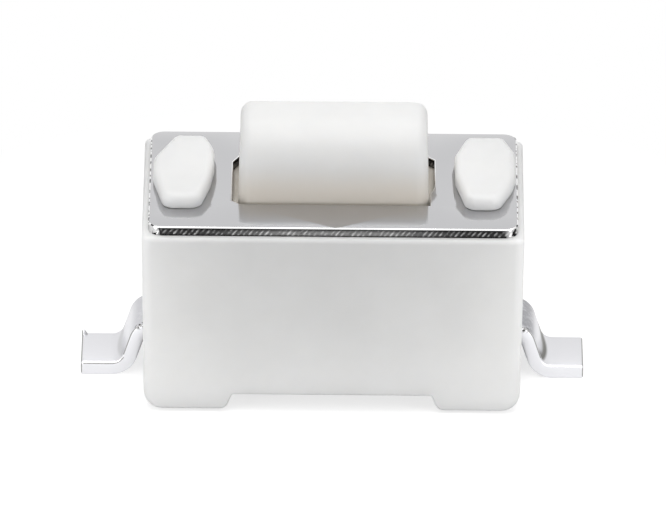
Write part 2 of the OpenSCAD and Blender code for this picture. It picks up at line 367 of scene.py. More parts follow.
def sheared_steel(name, dark_colour, light_colour):
    """Torn metal. Its strokes run along X on the long sides and along Y on the short ones."""
    material, tree, output, place = start_material(name)
    axes = add_node(tree, "ShaderNodeSeparateXYZ", {"Vector": place})
    along = add_node(tree, "ShaderNodeMath", {
        0: axes.outputs["X"], 1: axes.outputs["Y"],
    }, operation="SUBTRACT")
    leaning = add_node(tree, "ShaderNodeMath", {
        0: axes.outputs["Z"], 1: -STROKE_SLANT, 2: along.outputs["Value"],
    }, operation="MULTIPLY_ADD")
    line = add_node(tree, "ShaderNodeCombineXYZ", {"X": leaning.outputs["Value"]})
    strokes = add_node(tree, "ShaderNodeTexWave", {
        "Vector": line.outputs["Vector"], "Scale": WAVE_PERIOD / (STROKE_PITCH * MM), "Distortion": 1.4,
        "Detail": 1,
    }, wave_type="BANDS")
    torn = add_node(tree, "ShaderNodeTexNoise", {
        "Vector": place, "Scale": 1 / (TORN_SIZE * MM), "Detail": 2, "Roughness": 0.6,
    })
    bitten = add_node(tree, "ShaderNodeMapRange", {
        "Value": torn.outputs["Fac"], "From Min": 0.42, "From Max": 0.6, "To Min": 0.08, "To Max": 1.1,
    })
    narrow = add_node(tree, "ShaderNodeMath", {0: strokes.outputs["Fac"], 1: 2}, operation="POWER")
    share = add_node(tree, "ShaderNodeMath", {
        0: narrow.outputs["Value"], 1: bitten.outputs["Result"],
    }, operation="MULTIPLY")
    side = add_node(tree, "ShaderNodeMath", {0: axes.outputs["X"]}, operation="ABSOLUTE")
    middle = add_node(tree, "ShaderNodeMapRange", {
        "Value": side.outputs["Value"], "From Min": 2.2 * MM, "From Max": 0.4 * MM,
        "To Min": 0.05, "To Max": 0.34,
    }, interpolation_type="SMOOTHSTEP")
    long_side = add_node(tree, "ShaderNodeMath", {
        0: share.outputs["Value"], 1: 0.55, 2: middle.outputs["Result"],
    }, operation="MULTIPLY_ADD")
    height = add_node(tree, "ShaderNodeMapRange", {
        "Value": axes.outputs["Z"], "From Min": cover_low.z * MM, "From Max": cover_high.z * MM,
    })
    bands = add_node(tree, "ShaderNodeValToRGB", {"Fac": height.outputs["Result"]})
    stops = bands.color_ramp.elements
    stops[0].position, stops[0].color = 0.04, (0, 0, 0, 1)
    stops[1].position, stops[1].color = 0.84, (0, 0, 0, 1)
    for position, level in ((0.2, 0.8), (0.4, 1), (0.6, 0.55)):
        stops.new(position).color = (level, level, level, 1)
    long_side = add_node(tree, "ShaderNodeMath", {
        0: long_side.outputs["Value"], 1: bands.outputs["Color"],
    }, operation="MULTIPLY")
    # At the corners and short sides the cut edge is painted light in noisy patches: a painted highlight, with
    # dark marks between.
    corner_highlight_patches = add_node(tree, "ShaderNodeMapRange", {
        "Value": torn.outputs["Fac"], "From Min": 0.42, "From Max": 0.48, "To Max": 0.9,
    })
    corner = add_node(tree, "ShaderNodeMapRange", {
        "Value": side.outputs["Value"], "From Min": 2.68 * MM, "From Max": 2.78 * MM,
    })
    filled = add_node(tree, "ShaderNodeMix", {
        "Factor": corner.outputs["Result"], "A": long_side.outputs["Value"],
        "B": corner_highlight_patches.outputs["Result"],
    })
    tint = add_node(tree, "ShaderNodeMix", data_type="RGBA", inputs={"Factor": filled.outputs["Result"]})
    tint.inputs[6].default_value = linear(dark_colour)
    tint.inputs[7].default_value = linear(light_colour)
    bump = add_node(tree, "ShaderNodeBump", {
        "Height": share.outputs["Value"], "Strength": 0.5, "Distance": 0.008 * MM,
    })
    shader = add_node(tree, "ShaderNodeBsdfPrincipled", {
        "Base Color": tint.outputs[2], "Metallic": 1, "Roughness": 0.3,
        "Normal": bump.outputs["Normal"],
    })
    tree.links.new(shader.outputs["BSDF"], output.inputs["Surface"])
    return material


def burnished_steel(name, colour, speck_colour):
    """Rolled-over edge, bright, with dark burrs along the short sides."""
    material, tree, output, place = start_material(name)
    burrs = add_node(tree, "ShaderNodeTexNoise", {
        "Vector": place, "Scale": 1 / (BURR_SIZE * MM), "Detail": 2, "Roughness": 0.6,
    })
    dark = add_node(tree, "ShaderNodeMapRange", {
        "Value": burrs.outputs["Fac"], "From Min": 0.52, "From Max": 0.56,
    })
    axes = add_node(tree, "ShaderNodeSeparateXYZ", {"Vector": place})
    side = add_node(tree, "ShaderNodeMath", {0: axes.outputs["X"]}, operation="ABSOLUTE")
    short = add_node(tree, "ShaderNodeMapRange", {
        "Value": side.outputs["Value"], "From Min": 2.74 * MM, "From Max": 2.8 * MM,
    })
    share = add_node(tree, "ShaderNodeMath", {
        0: dark.outputs["Result"], 1: short.outputs["Result"],
    }, operation="MULTIPLY")
    tint = add_node(tree, "ShaderNodeMix", data_type="RGBA", inputs={"Factor": share.outputs["Value"]})
    tint.inputs[6].default_value = linear(colour)
    tint.inputs[7].default_value = linear(speck_colour)
    shader = add_node(tree, "ShaderNodeBsdfPrincipled", {
        "Base Color": tint.outputs[2], "Metallic": 1, "Roughness": 0.16,
    })
    tree.links.new(shader.outputs["BSDF"], output.inputs["Surface"])
    return material


cover_steel = rolled_steel("bright_rolled_stainless_steel", "#C4C4C6", 0.09, 0.0004, 0.004)
burnished_edge = burnished_steel("burnished_steel_edge", "#F4F4F4", "#303030")
sheared_edge = sheared_steel("sheared_steel_edge", "#0C0C0D", "#DCDCDC")
dome_steel = rolled_steel("spring_stainless_steel", "#B9BABC", 0.22, 0.0008, 0.002)

# %% [markdown]
# ### Silver plate
# The terminals are brass strip with matt silver plate, which takes solder. Plating grows in tiny grains,
# about 0.03 mm here, so the metal is bright but reflects nothing sharply. Where the strip leaves the wall,
# the upper bend is painted grey in patches as painted shade, with a few dark specks of painted shade on the
# front edge there, where the lead meets the wall. A bowed dark line across the start of the foot is a painted
# reflection of the dark slope in the concave lower bend. The grey and the line are strong on the right and
# faint on the left.

# %% Silver plate
PLATE_GRAIN = 0.03
BEND_SHADE_PATCH = 0.1
WALL_SHADE_SPECK = 0.05
DARK_REFLECTION_X = 3.37
DARK_REFLECTION_BOW = 0.3
DARK_REFLECTION_W = 0.06
housing_low, housing_high = box_mm("housing")


def masked(tree, *values):
    """The product of several shares between 0 and 1."""
    product = values[0]
    for value in values[1:]:
        both = add_node(tree, "ShaderNodeMath", {0: product, 1: value}, operation="MULTIPLY")
        product = both.outputs["Value"]
    return product


def fade(tree, value, start, end, strength=1):
    """Share that rises from 0 to the strength between two values, in millimetres."""
    return add_node(tree, "ShaderNodeMapRange", {
        "Value": value, "From Min": start * MM, "From Max": end * MM, "To Max": strength,
    }, interpolation_type="SMOOTHSTEP").outputs["Result"]


def tinted(tree, share, colour, dark):
    """A colour socket or value turned towards a darker colour by a share."""
    mix = add_node(tree, "ShaderNodeMix", data_type="RGBA", inputs={"Factor": share})
    if isinstance(colour, bpy.types.NodeSocket):
        tree.links.new(colour, mix.inputs[6])
    else:
        mix.inputs[6].default_value = linear(colour)
    mix.inputs[7].default_value = linear(dark)
    return mix.outputs[2]


def silver_plate(name, bend_shade_colour, bend_shade_to, dark_reflection_share):
    material, tree, output, place = start_material(name)
    axes = add_node(tree, "ShaderNodeSeparateXYZ", {"Vector": place})
    side = add_node(tree, "ShaderNodeMath", {0: axes.outputs["X"]}, operation="ABSOLUTE").outputs["Value"]
    grain = add_node(tree, "ShaderNodeTexNoise", {
        "Vector": place, "Scale": 1 / (PLATE_GRAIN * MM), "Detail": 3,
    })
    patches = add_node(tree, "ShaderNodeTexNoise", {
        "Vector": place, "Scale": 1 / (BEND_SHADE_PATCH * MM), "Detail": 4, "Roughness": 0.7,
    })
    mottled = add_node(tree, "ShaderNodeMapRange", {
        "Value": patches.outputs["Fac"], "From Min": 0.3, "From Max": 0.5, "To Min": 0.35,
    })
    # Near the wall the upper bend is painted grey in patches: painted shade.
    root = fade(tree, side, bend_shade_to, bend_shade_to - 0.14)
    top_only = fade(tree, axes.outputs["Y"], -0.5, -0.44)
    colour = tinted(tree, masked(tree, root, mottled.outputs["Result"], top_only), "#DCDCDF", bend_shade_colour)
    # Dark specks on the front edge where the lead leaves the wall are painted shade between the lead and the
    # wall.
    wall_shade_noise = add_node(tree, "ShaderNodeTexNoise", {
        "Vector": place, "Scale": 1 / (WALL_SHADE_SPECK * MM), "Detail": 1,
    })
    wall_shade_speck = add_node(tree, "ShaderNodeMapRange", {
        "Value": wall_shade_noise.outputs["Fac"], "From Min": 0.5, "From Max": 0.54,
    })
    near_wall = fade(tree, side, housing_high.x + 0.16, housing_high.x + 0.1)
    front = fade(tree, axes.outputs["Y"], -0.4, -0.46)
    upper = fade(tree, axes.outputs["Z"], 0.8, 0.86)
    colour = tinted(tree, masked(tree, wall_shade_speck.outputs["Result"], near_wall, front, upper), colour, "#4A4A48")
    # A bowed dark line across the start of the foot is a painted reflection of the dark slope in the concave
    # lower bend.
    bow = add_node(tree, "ShaderNodeMath", {
        0: axes.outputs["Y"], 1: axes.outputs["Y"],
    }, operation="MULTIPLY").outputs["Value"]
    bent = add_node(tree, "ShaderNodeMath", {
        0: bow, 1: DARK_REFLECTION_BOW / MM, 2: side,
    }, operation="MULTIPLY_ADD").outputs["Value"]
    off_line = add_node(tree, "ShaderNodeMath", {0: bent, 1: DARK_REFLECTION_X * MM}, operation="SUBTRACT")
    distance = add_node(tree, "ShaderNodeMath", {0: off_line.outputs["Value"]}, operation="ABSOLUTE")
    near_line = fade(tree, distance.outputs["Value"], DARK_REFLECTION_W, 0.01, dark_reflection_share)
    dark_reflection_line = masked(tree, near_line, top_only)
    colour = tinted(tree, dark_reflection_line, colour, "#6F6E6A")
    bump = add_node(tree, "ShaderNodeBump", {
        "Height": grain.outputs["Fac"], "Strength": 0.3, "Distance": 0.003 * MM,
    })
    shader = add_node(tree, "ShaderNodeBsdfPrincipled", {
        "Base Color": colour, "Metallic": 1, "Roughness": 0.34, "Normal": bump.outputs["Normal"],
    })
    tree.links.new(shader.outputs["BSDF"], output.inputs["Surface"])
    return material


def plain_metal(name, colour, roughness):
    material, tree, output, place = start_material(name)
    shader = add_node(tree, "ShaderNodeBsdfPrincipled", {
        "Base Color": linear(colour), "Metallic": 1, "Roughness": roughness,
    })
    tree.links.new(shader.outputs["BSDF"], output.inputs["Surface"])
    return material


# The last two values set the painted shade on the bend and the share of the painted dark reflection line.
left_silver = silver_plate("matt_silver_plate", "#C9C9CD", 3.2, 0.25)
right_silver = silver_plate("silver_plate_painted_shade", "#9E9EA2", 3.27, 1)
# Painted highlight and painted shade line for the leads' front edges; the second is also the grey of the
# sheared end.
edge_highlight_metal = plain_metal("silver_edge_painted_highlight", "#ECECED", 0.25)
edge_shade_and_cut_end = plain_metal("silver_edge_painted_shade_and_cut_end", "#949492", 0.45)
print("materials:", cover_steel.name, sheared_edge.name, burnished_edge.name, dome_steel.name)
print("materials:", left_silver.name, right_silver.name, edge_highlight_metal.name, edge_shade_and_cut_end.name)

# %% [markdown]
# ## The housing
# The housing is one moulding. Seen from the front it is a block on two feet, so it starts as that
# outline, with every corner rounded as a bevel of its points, and is pushed through from front to
# back. The walls lean in by 0.04 mm towards the foot, because a moulding has to leave its mould.

# %% Block on two feet
TOP_Z = cover_low.z
DRAFT = 0.04
ARCH_TOP_X = 1.57
ARCH_FOOT_X = 1.67
ARCH_HEIGHT = 0.26
FOOT_OUTER_R = 0.28
FOOT_INNER_R = 0.14
ARCH_R = 0.04


def block_on_feet(bm):
    low, high = housing_low, housing_high
    foot_z, arch_z = low.z, low.z + ARCH_HEIGHT
    half = [
        (high.x, TOP_Z, 0), (high.x - DRAFT, foot_z, FOOT_OUTER_R), (ARCH_FOOT_X, foot_z, FOOT_INNER_R),
        (ARCH_TOP_X, arch_z, ARCH_R),
    ]
    other_half = [(-x, z, radius) for x, z, radius in reversed(half)]
    front = outline_face(bm, half + other_half, lambda x, z: (x, low.y, z))
    push_face(bm, front, (0, high.y - low.y, 0))
    for vert in bm.verts:
        depth = (TOP_Z - vert.co.z) / (TOP_Z - foot_z)
        vert.co.y -= math.copysign(DRAFT * depth, vert.co.y)


bm_housing = bmesh.new()
block_on_feet(bm_housing)
print("block:", len(bm_housing.verts), "points")

# %% [markdown]
# The upright corners have a large radius and the lower front and rear edges a small one, and the
# two run into each other round the outer corner of each foot. A bevel operator has one radius.
# The Bevel modifier can take a weight for each edge, so the weights fade from one to the other.

# %% Edges whose radius changes along the way
UPRIGHT_R = 0.28
LOWER_EDGE_R = 0.07
EDGE_STEPS = 8


def weigh_edges(bm):
    weights = bm.edges.layers.float.new("bevel_weight_edge")
    small = LOWER_EDGE_R / UPRIGHT_R
    for edge in bm.edges:
        a, b = (vert.co for vert in edge.verts)
        level_top = min(a.z, b.z) > TOP_Z - NEAR
        if level_top or abs(a.y - b.y) > 0.5:
            continue
        middle = (a + b) / 2
        climb = (middle.z - housing_low.z) / FOOT_OUTER_R
        outer = abs(middle.x) > ARCH_FOOT_X + FOOT_INNER_R
        edge[weights] = small + (1 - small) * min(1, climb) if outer else small


def bevel_by_weight(bm):
    mesh = bpy.data.meshes.new("block")
    bm.to_mesh(mesh)
    block = bpy.data.objects.new("block", mesh)
    bpy.context.scene.collection.objects.link(block)
    bevel = block.modifiers.new("edges", "BEVEL")
    bevel.limit_method = "WEIGHT"
    bevel.offset_type = "OFFSET"
    bevel.width = UPRIGHT_R
    bevel.segments = EDGE_STEPS
    graph = bpy.context.evaluated_depsgraph_get()
    bm.clear()
    bm.from_object(block, graph)
    bpy.data.objects.remove(block)
    bpy.data.meshes.remove(mesh)


weigh_edges(bm_housing)
bevel_by_weight(bm_housing)
print("block with round edges:", len(bm_housing.faces), "faces")

# %% [markdown]
# The top face is rounded at its rim and then opened: its outline, the well's and the shanks' of
# the two posts are filled between as one flat. What was inside each outline is still a face, so
# the well can be pushed down and the posts pushed up out of the same skin.

# %% Well and post shanks
TOP_EDGE_R = 0.08
TOP_EDGE_STEPS = 4
button_low, button_high = box_mm("button")
FLANGE_CLEAR = 0.08
WELL_CORNER_R = 0.3
WELL_L = button_high.x - button_low.x + 2 * FLANGE_CLEAR
WELL_W = button_high.y - button_low.y + 2 * FLANGE_CLEAR
dome_low, dome_high = box_mm("dome")
HEAD_SPREAD = 0.08
LEFT_HEAD = [
    (-2.52, 1.12, 0.14), (-2.85, 0.35, 0.4), (-2.845, -0.15, 0.6), (-2.665, -1.02, 0.2),
    (-2.1, -1.02, 0.2), (-1.94, -0.35, 0.6), (-1.88, 0.2, 0.6), (-1.885, 0.68, 0.4), (-2.02, 1.12, 0.14),
]
RIGHT_HEAD = [
    (2.09, 1.12, 0.14), (1.9, 0.5, 0.3), (1.92, -0.2, 0.6), (2.09, -1.01, 0.2), (2.6, -1.01, 0.2),
    (2.8, -0.45, 0.6), (2.87, -0.1, 0.4), (2.87, 0.62, 0.4), (2.7, 1.12, 0.14),
]


def drawn_in(corners, inset):
    """The same corners on an outline that lies inside this one by the inset."""
    moved = []
    for i, (x, y, radius) in enumerate(corners):
        corner = Vector((x, y))
        back = (Vector(corners[i - 1][:2]) - corner).normalized()
        ahead = (Vector(corners[(i + 1) % len(corners)][:2]) - corner).normalized()
        inwards = (back + ahead).normalized()
        place = corner + inwards * inset / math.sin(back.angle(ahead) / 2)
        moved.append((place.x, place.y, radius - inset))
    return moved


def open_top(bm):
    top = next(f for f in bm.faces if min(v.co.z for v in f.verts) > TOP_Z - NEAR)
    round_edges(bm, list(top.edges), TOP_EDGE_R, TOP_EDGE_STEPS)
    top = next(f for f in bm.faces if min(v.co.z for v in f.verts) > TOP_Z - NEAR)
    level = lambda x, y: (x, y, TOP_Z)
    well = outline_face(bm, rectangle(WELL_L, WELL_W, WELL_CORNER_R), level)
    shanks = [outline_face(bm, drawn_in(head, HEAD_SPREAD), level) for head in (LEFT_HEAD, RIGHT_HEAD)]
    rim = list(top.edges)
    bmesh.ops.delete(bm, geom=[top], context="FACES_ONLY")
    edges = set(rim) | {edge for face in [well, *shanks] for edge in face.edges}
    bmesh.ops.triangle_fill(bm, edges=list(edges), use_beauty=True)
    push_face(bm, well, (0, 0, dome_low.z - TOP_Z))
    return shanks


shank_faces = open_top(bm_housing)
print("well is", round(WELL_L, 2), "by", round(WELL_W, 2), "mm")

# %% [markdown]
# Each post is staked: pushed through its window and pressed flat while hot, so that its head
# spreads over the plate. The shank rises through the plate, the head's own outline is joined to
# it by a ring, and the head rises from there. Its rim is round above and hardly rounded below.
# Molten heads never spread quite alike, so each has an outline of its own: both are wider behind
# than in front.

# %% Staked heads
HEAD_EDGE_R = 0.12
HEAD_EDGE_STEPS = 6
HEAD_LOWER_R = 0.02


def stake(bm, shank, corners):
    shank_top = push_face(bm, shank, (0, 0, cover_high.z - TOP_Z))
    head = outline_face(bm, corners, lambda x, y: (x, y, cover_high.z))
    loops = list(shank_top.edges) + list(head.edges)
    bmesh.ops.delete(bm, geom=[shank_top], context="FACES_ONLY")
    bmesh.ops.bridge_loops(bm, edges=loops)
    lower = list(head.edges)
    head = push_face(bm, head, (0, 0, housing_high.z - cover_high.z))
    round_edges(bm, list(head.edges), HEAD_EDGE_R, HEAD_EDGE_STEPS)
    round_edges(bm, lower, HEAD_LOWER_R, 2)


for shank_face, head_corners in zip(shank_faces, (LEFT_HEAD, RIGHT_HEAD)):
    stake(bm_housing, shank_face, head_corners)

finish_piece("housing_moulding", bm_housing, "base", "housing", [housing_nylon])

# %% [markdown]
# ## The cover plate
# The plate is blanked from sheet in one stroke, so it is one flat outline with a slot and two
# windows. Its corners are round, and the slot's are cut straight across. At its right-hand end
# the slot is narrower in front, where the punch was nicked. The long sides get extra points for
# the marks of the cut. Each outline is kept as its points in order, with the side its metal is on.

# %% Outlines of the plate
COVER_CORNER_R = 0.22
SLOT_CLEAR_L = 0.09
SLOT_CLEAR_W = 0.04
SLOT_CUT = 0.12
NARROW_X = 1.52
NARROW_Y = -0.2
POST_CLEAR = 0.03
BAR_L = 3.0
BAR_W = 1.6
FLUTE_PITCH = 0.085


def slot_corners():
    x, y, c = BAR_L / 2 + SLOT_CLEAR_L, BAR_W / 2 + SLOT_CLEAR_W, SLOT_CUT
    corners = [
        (x, y - c), (x - c, y), (c - x, y), (-x, y - 2 * c), (-x, c - y), (c - x, -y),
        (NARROW_X, -y), (NARROW_X, NARROW_Y - 2 * c), (x, NARROW_Y),
    ]
    return [(u, v, 0) for u, v in corners]


def plate_outlines(bm):
    level = lambda x, y: (x, y, cover_low.z)
    size = cover_high - cover_low
    outer = outline_face(bm, rectangle(size.x, size.y, COVER_CORNER_R), level)
    for edge in [e for e in outer.edges if e.calc_length() > 1]:
        cuts = 2 * round(edge.calc_length() / FLUTE_PITCH) - 1
        bmesh.ops.subdivide_edges(bm, edges=[edge], cuts=cuts)
    outer = next(iter(bm.faces))
    faces = [outer, outline_face(bm, slot_corners(), level)]
    for head in (LEFT_HEAD, RIGHT_HEAD):
        faces.append(outline_face(bm, drawn_in(head, HEAD_SPREAD - POST_CLEAR), level))
    outlines = []
    for face in faces:
        face.normal_update()
        side = math.copysign(1, face.normal.z)
        outlines.append(([corner.vert for corner in face.loops], side if face is outer else -side))
    bmesh.ops.delete(bm, geom=faces, context="FACES_ONLY")
    return outlines


bm_cover = bmesh.new()
outlines = plate_outlines(bm_cover)
print("points in each outline:", [len(loop) for loop, side in outlines])

# %% [markdown]
# The skin then rises from the underside in rings: three rows up the cut edge, and two that roll
# over into the top face by 0.018 mm. A ring joins each loop to a copy of it, moved up and into the metal.

# %% Rings from the underside to the top face
ROLL_R = 0.018
WALL_ROWS = 3
SHEARED, ROLLED = 1, 2


def fill_between(bm, loops):
    edges = [bm.edges.get(pair) for loop in loops for pair in zip(loop, loop[1:] + loop[:1])]
    bmesh.ops.triangle_fill(bm, edges=edges, use_beauty=True)


def add_ring(bm, loop, side, inwards, rise, material):
    copy = []
    for i, vert in enumerate(loop):
        back = (vert.co - loop[i - 1].co).xy.normalized()
        ahead = (loop[(i + 1) % len(loop)].co - vert.co).xy.normalized()
        along = (back + ahead).normalized()
        across = Vector((-along.y, along.x)) * side
        move = across * inwards / along.dot(ahead)
        copy.append(bm.verts.new(vert.co + Vector((move.x, move.y, rise))))
    for i in range(len(loop)):
        quad = bm.faces.new((loop[i - 1], loop[i], copy[i], copy[i - 1]))
        quad.material_index = material
    return copy


def raise_cover(bm, outlines):
    """Returns the two middle rows of points on the outer cut edge."""
    fill_between(bm, [loop for loop, side in outlines])
    row_height = (cover_high.z - cover_low.z - ROLL_R) / WALL_ROWS
    rows, tops = [], []
    for loop, side in outlines:
        for row in range(WALL_ROWS):
            loop = add_ring(bm, loop, side, 0, row_height, SHEARED)
            rows.append(loop)
        loop = add_ring(bm, loop, side, 0.29 * ROLL_R, 0.71 * ROLL_R, ROLLED)
        tops.append(add_ring(bm, loop, side, 0.71 * ROLL_R, 0.29 * ROLL_R, ROLLED))
    fill_between(bm, tops)
    return rows[:WALL_ROWS - 1]


edge_rows = raise_cover(bm_cover, outlines)
print("cover:", len(bm_cover.faces), "faces")

# %% [markdown]
# The strip was trimmed by a nibbling tool, which leaves small flutes 0.085 mm apart in the cut
# edge. On its two middle rows every second point is pressed in by an amount that varies a little
# from flute to flute, and the rows lean apart.

# %% Fluted edge
FLUTE_DEPTH = 0.014
FLUTE_SLANT = 0.03
random.seed(5)


def flute_edge(rows):
    for row, slant in zip(rows, (-FLUTE_SLANT, FLUTE_SLANT)):
        for vert in row:
            along_x = abs(abs(vert.co.y) - cover_high.y) < NEAR
            along = vert.co.x if along_x else vert.co.y
            step = round(along / (FLUTE_PITCH / 2))
            if step % 2:
                across = Vector((0, 1)) if along_x else Vector((1, 0))
                depth = FLUTE_DEPTH * random.uniform(0.5, 1.3)
                vert.co.x -= math.copysign(across.x * depth, vert.co.x)
                vert.co.y -= math.copysign(across.y * depth, vert.co.y)
            if abs(along) < (cover_high.x if along_x else cover_high.y) - COVER_CORNER_R - NEAR:
                vert.co += Vector((slant, 0, 0)) if along_x else Vector((0, slant, 0))


flute_edge(edge_rows)
finish_piece(
    "cover_plate", bm_cover, "base", "cover", [cover_steel, sheared_edge, burnished_edge],
)

# %% [markdown]
# ## The button
# The button is one moulding too. Above the plate it is a bar with large round edges along its
# top. A block is rounded there first, then round its two ends. From its underside the flange,
# the column and the nub follow by stepping a face in or out and pushing it down.

# %% Bar of the button
FLANGE_TOP_Z = TOP_Z - 0.02
BAR_TOP_R = 0.7
BAR_END_R = 0.19
BAR_DRAFT = 0.035


def bar(bm):
    bmesh.ops.create_cube(bm, size=1)
    height = button_high.z - FLANGE_TOP_Z
    bmesh.ops.scale(bm, vec=(BAR_L, BAR_W, height), verts=bm.verts)
    bmesh.ops.translate(bm, vec=(0, 0, FLANGE_TOP_Z + height / 2), verts=bm.verts)
    for vert in bm.verts:
        if vert.co.z > TOP_Z:
            vert.co.x -= math.copysign(BAR_DRAFT, vert.co.x)
    along_bar = lambda edge: abs(edge.verts[0].co.x - edge.verts[1].co.x) > BAR_L / 2
    top_edges = edges_where(bm, lambda co: co.z > button_high.z - NEAR)
    round_edges(bm, [edge for edge in top_edges if along_bar(edge)], BAR_TOP_R, 16)
    underside = edges_where(bm, lambda co: co.z < FLANGE_TOP_Z + NEAR)
    ends = [edge for edge in bm.edges if not along_bar(edge) and edge not in underside]
    round_edges(bm, ends, BAR_END_R, 8)


bm_button = bmesh.new()
bar(bm_button)
print("bar:", len(bm_button.faces), "faces")

# %% [markdown]
# The flange is what the cover holds down, the column carries the push through the middle of the
# well, and the round nub presses the dome.

# %% Flange, column and nub
FLANGE_T = 0.45
COLUMN_L = 1.7
COLUMN_W = 1.1
NUB_R = 0.35
NUB_H = 0.15


def below_the_bar(bm):
    under = min(bm.faces, key=lambda face: face.calc_center_median().z)
    under = step_face(bm, under, button_high.x - button_low.x, button_high.y - button_low.y)
    under = push_face(bm, under, (0, 0, -FLANGE_T))
    under = step_face(bm, under, COLUMN_L, COLUMN_W)
    under = push_face(bm, under, (0, 0, button_low.z + NUB_H - (FLANGE_TOP_Z - FLANGE_T)))
    under = step_face(bm, under, NUB_R, NUB_R)
    for vert in under.verts:
        vert.co.xy = vert.co.xy.normalized() * NUB_R
    push_face(bm, under, (0, 0, -NUB_H))


below_the_bar(bm_button)
finish_piece("push_button", bm_button, "button", "button", [button_nylon])

# %% [markdown]
# ## The snap dome
# The dome is a thin spring under the nub. It is part of a ball, so an arc is spun round the upright axis, its
# two long sides are cut straight, and the skin is given its thickness. When the button goes down the dome
# flattens towards the floor of the well.

# %% Dome
DOME_T = 0.06


def dome_skin(bm):
    radius, height = dome_high.x, dome_high.z - dome_low.z
    ball_r = (radius ** 2 + height ** 2) / (2 * height)
    crown = bm.verts.new((0, 0, dome_high.z))
    centre = (0, 0, dome_high.z - ball_r)
    bmesh.ops.spin(
        bm, geom=[crown], cent=centre, axis=(0, 1, 0), angle=math.asin(radius / ball_r), steps=12,
    )
    arc = list(bm.verts) + list(bm.edges)
    bmesh.ops.spin(bm, geom=arc, cent=(0, 0, 0), axis=(0, 0, 1), angle=math.tau, steps=96, use_merge=True)
    bmesh.ops.remove_doubles(bm, verts=bm.verts, dist=NEAR)
    for side in (1, -1):
        bmesh.ops.bisect_plane(
            bm, geom=bm.verts[:] + bm.edges[:] + bm.faces[:], plane_co=(0, side * dome_high.y, 0),
            plane_no=(0, side, 0), clear_outer=True, dist=NEAR,
        )
    bmesh.ops.recalc_face_normals(bm, faces=bm.faces)
    if max(bm.faces, key=lambda f: f.calc_center_median().z).normal.z < 0:
        bmesh.ops.reverse_faces(bm, faces=bm.faces)


def thicken_dome(bm):
    bmesh.ops.solidify(bm, geom=bm.faces[:], thickness=DOME_T)
    cut = bmesh.ops.bisect_plane(
        bm, geom=bm.verts[:] + bm.edges[:] + bm.faces[:], plane_co=(0, 0, dome_low.z),
        plane_no=(0, 0, -1), clear_outer=True, dist=NEAR,
    )["geom_cut"]
    rim = [e for e in bm.edges if e.is_boundary]
    print("dome rim:", len(cut), "cut elements,", len(rim), "open edges")
    bmesh.ops.holes_fill(bm, edges=rim, sides=0)


bm_dome = bmesh.new()
dome_skin(bm_dome)
thicken_dome(bm_dome)
dome_heights = [vert.co.z for vert in bm_dome.verts]
print("dome from", round(min(dome_heights), 3), "to", round(max(dome_heights), 3))
dome = finish_piece("snap_dome", bm_dome, "base", "dome", [dome_steel])
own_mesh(dome)

# %% [markdown]
# ## The terminals
# Each terminal is one strip of sheet, blanked flat and then bent. The flat part inside the
# housing is an outline given the sheet's thickness. The face at its end is spun through the
# upper bend, which starts just inside the wall. Then it is pushed down the slope, spun back
# through the lower bend and pushed along the foot, just as the bending tool does to the strip.

# %% Bending a lead
left_low, left_high = box_mm("left_terminal")
right_low, right_high = box_mm("right_terminal")
SHEET_T = 0.23
SHEET_Z = dome_low.z - SHEET_T
BEND_INSET = 0.15
UPPER_BEND_R = 0.26
LOWER_BEND_R = 0.31
LEAD_SLOPE = math.radians(72)
FOOT_L = 0.48
LEAD_W = 1.0
EXIT_X = housing_high.x - BEND_INSET
BEND_STEPS = 14


def bend_face(bm, face, centre, angle):
    """Spins a face about a line along Y, and returns the face at the end."""
    geometry = [face, *face.edges, *face.verts]
    made = bmesh.ops.spin(
        bm, geom=geometry, cent=centre, axis=(0, 1, 0), angle=angle, steps=BEND_STEPS,
    )["geom_last"]
    return next(f for f in made if isinstance(f, bmesh.types.BMFace))


def bend_lead(bm, tip_x):
    middle_z = SHEET_Z + SHEET_T / 2
    end = max(bm.faces, key=lambda f: f.calc_center_median().x)
    end = bend_face(bm, end, (EXIT_X, 0, middle_z - UPPER_BEND_R), LEAD_SLOPE)
    lower_centre = Vector((tip_x - FOOT_L, 0, SHEET_T / 2 + LOWER_BEND_R))
    bend_start = lower_centre - LOWER_BEND_R * Vector((math.sin(LEAD_SLOPE), 0, math.cos(LEAD_SLOPE)))
    slope = bend_start - end.calc_center_median()
    end = push_face(bm, end, (slope.x, 0, slope.z))
    end = bend_face(bm, end, lower_centre, -LEAD_SLOPE)
    push_face(bm, end, (FOOT_L, 0, 0))
    return slope.length


# %% [markdown]
# Tumbling takes the sharpness off every edge of the strip. The bevel picks them by the angle between their
# faces, so the bends stay as they are. Along the front edge a grey line is painted, a painted shade line. On
# the foot a bright line above it is a painted highlight, and the sheared end is grey too. The leads are built
# pointing to the right, so the upper side of one faces up or right all the way.

# %% Blanking and deburring a terminal
BURR_R = 0.036
BURR_STEPS = 3
CORNER_ANGLE = math.radians(60)


def blank_strip(bm, points, thickness):
    face = outline_face(bm, [(x, y, 0) for x, y in points], lambda x, y: (x, y, SHEET_Z))
    made = bmesh.ops.extrude_face_region(bm, geom=[face])["geom"]
    tops = [v for v in made if isinstance(v, bmesh.types.BMVert)]
    bmesh.ops.translate(bm, vec=(0, 0, thickness), verts=tops)


def deburr(bm):
    bmesh.ops.recalc_face_normals(bm, faces=bm.faces)
    edges = [e for e in bm.edges if e.is_manifold and e.calc_face_angle() > CORNER_ANGLE]
    round_edges(bm, edges, BURR_R, BURR_STEPS)


